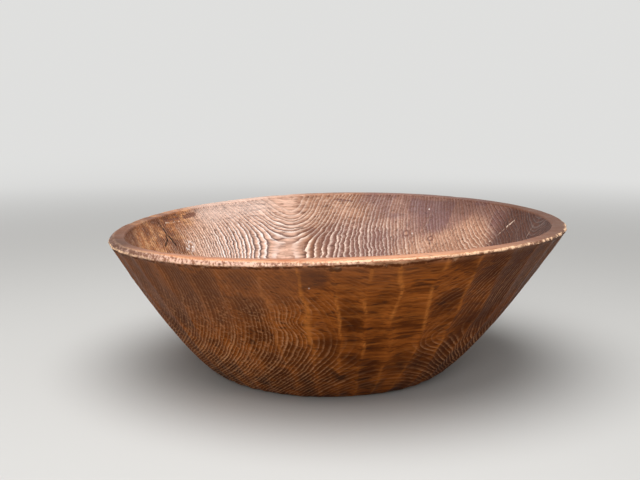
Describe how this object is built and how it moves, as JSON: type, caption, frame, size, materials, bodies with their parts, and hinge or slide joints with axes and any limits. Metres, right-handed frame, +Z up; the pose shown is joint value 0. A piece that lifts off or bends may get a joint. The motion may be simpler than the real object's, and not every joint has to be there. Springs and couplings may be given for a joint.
{
  "type": "dough bowl",
  "caption": "Hand-hewn wooden dough bowl, round and slightly oval, with flared walls, a worn wavy rim and a small flat foot.",
  "frame": {"origin": "middle of the flat foot, in the plane of the table", "axes": "+Z up, +X along the grain towards the higher end of the rim, +Y across the grain"},
  "size_m": [0.4601, 0.4318, 0.1565],
  "materials": {
    "bowl_wood": "hand-hewn softwood, oiled and waxed to a satin sheen, with raised growth rings"
  },
  "bodies": {
    "root": {"bowl": "bowl_wood"}
  },
  "joints": []
}
